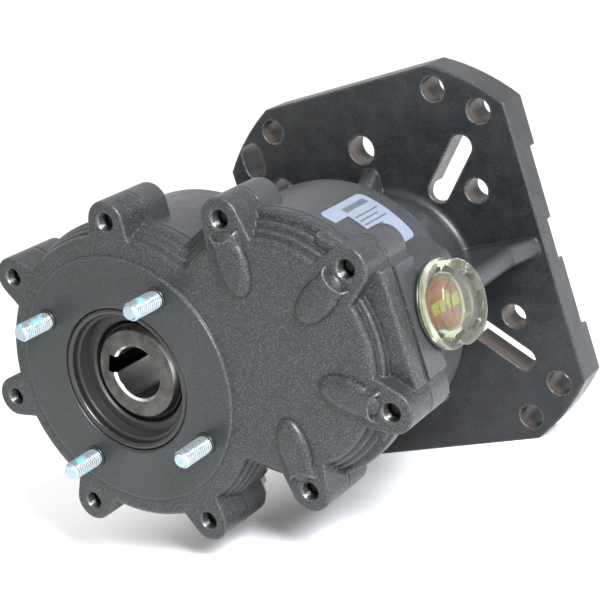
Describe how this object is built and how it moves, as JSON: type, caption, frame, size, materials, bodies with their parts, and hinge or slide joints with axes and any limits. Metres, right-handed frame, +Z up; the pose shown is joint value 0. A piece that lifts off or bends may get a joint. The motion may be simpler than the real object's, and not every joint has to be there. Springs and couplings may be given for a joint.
{
  "type": "reduction gearbox",
  "caption": "Spur reduction gearbox with a keyed hollow pump shaft and studs in front, an oil sight glass at the side and a slotted engine flange behind.",
  "frame": {"origin": "centre of the stud circle, on the output axis in the pump mounting face", "axes": "+Y along both shafts from the pump face to the engine face, +X from the output axis to the input axis, +Z up"},
  "size_m": [0.2317, 0.1475, 0.1746],
  "materials": {
    "housing_casting": "satin dark grey paint on cast aluminium",
    "cover_casting": "satin grey metallic paint on cast aluminium",
    "gasket": "matt compressed fibre",
    "black_steel": "black oxide",
    "zinc_stud": "bright zinc plate",
    "zinc_plug": "zinc plate",
    "copper_washer": "soft copper",
    "spring_steel": "blued",
    "seal_rubber": "satin black",
    "o_ring_rubber": "satin black",
    "cage_brass": "pressed",
    "bearing_steel": "polished",
    "turned_steel": "turned and ground",
    "gear_steel": "ground, oiled",
    "clear_plastic": "clear, slightly yellow",
    "red_reflector": "gloss",
    "yellow_bar": "gloss",
    "label": "matt film"
  },
  "bodies": {
    "housing": {"rear_housing": "housing_casting", "front_cover": "cover_casting", "cover_gasket": "gasket", "cover_screws": "black_steel", "dowel_pins": "spring_steel", "pump_studs": "zinc_stud", "pilot_o_ring": "o_ring_rubber", "output_seal": "seal_rubber", "output_seal_spring": "spring_steel", "input_seal": "seal_rubber", "input_seal_spring": "spring_steel", "output_front_outer_ring": "bearing_steel", "output_rear_outer_ring": "bearing_steel", "input_front_outer_ring": "bearing_steel", "input_rear_outer_ring": "bearing_steel", "input_housing_circlip": "spring_steel", "sight_glass": "clear_plastic", "sight_glass_o_ring": "o_ring_rubber", "sight_reflector": "red_reflector", "sight_level_bar": "yellow_bar", "filler_plug": "zinc_plug", "filler_washer": "copper_washer", "drain_plug": "zinc_plug", "drain_washer": "copper_washer", "rating_label": "label"},
    "output": {"output_shaft": "turned_steel", "output_gear": "gear_steel", "output_gear_key": "spring_steel", "output_gear_circlip": "spring_steel", "output_shaft_plug": "turned_steel", "output_front_inner_ring": "bearing_steel", "output_rear_inner_ring": "bearing_steel"},
    "input": {"input_pinion": "gear_steel", "input_shaft_circlip": "spring_steel", "input_front_inner_ring": "bearing_steel", "input_rear_inner_ring": "bearing_steel"},
    "output_front_set": {"output_front_balls": "bearing_steel", "output_front_cage": "cage_brass"},
    "output_rear_set": {"output_rear_balls": "bearing_steel", "output_rear_cage": "cage_brass"},
    "input_front_set": {"input_front_balls": "bearing_steel", "input_front_cage": "cage_brass"},
    "input_rear_set": {"input_rear_balls": "bearing_steel", "input_rear_cage": "cage_brass"}
  },
  "joints": [
    {"name": "output_spin", "type": "hinge", "parent": "housing", "child": "output", "pos_m": [0, 0.035, 0], "axis": [0, 1, 0], "continuous": true},
    {"name": "input_spin", "type": "hinge", "parent": "housing", "child": "input", "pos_m": [0.077, 0.05, 0], "axis": [0, 1, 0], "continuous": true},
    {"name": "output_front_set_spin", "type": "hinge", "parent": "housing", "child": "output_front_set", "pos_m": [0, 0.024, 0], "axis": [0, 1, 0], "continuous": true},
    {"name": "output_rear_set_spin", "type": "hinge", "parent": "housing", "child": "output_rear_set", "pos_m": [0, 0.061, 0], "axis": [0, 1, 0], "continuous": true},
    {"name": "input_front_set_spin", "type": "hinge", "parent": "housing", "child": "input_front_set", "pos_m": [0.077, 0.015, 0], "axis": [0, 1, 0], "continuous": true},
    {"name": "input_rear_set_spin", "type": "hinge", "parent": "housing", "child": "input_rear_set", "pos_m": [0.077, 0.08, 0], "axis": [0, 1, 0], "continuous": true}
  ],
  "couplings": [
    {"joint": "input_spin", "follows": "output_spin", "ratio": -2.2083},
    {"joint": "output_front_set_spin", "follows": "output_spin", "ratio": 0.4398},
    {"joint": "output_rear_set_spin", "follows": "output_spin", "ratio": 0.4398},
    {"joint": "input_front_set_spin", "follows": "output_spin", "ratio": -0.9656},
    {"joint": "input_rear_set_spin", "follows": "output_spin", "ratio": -0.9656}
  ]
}
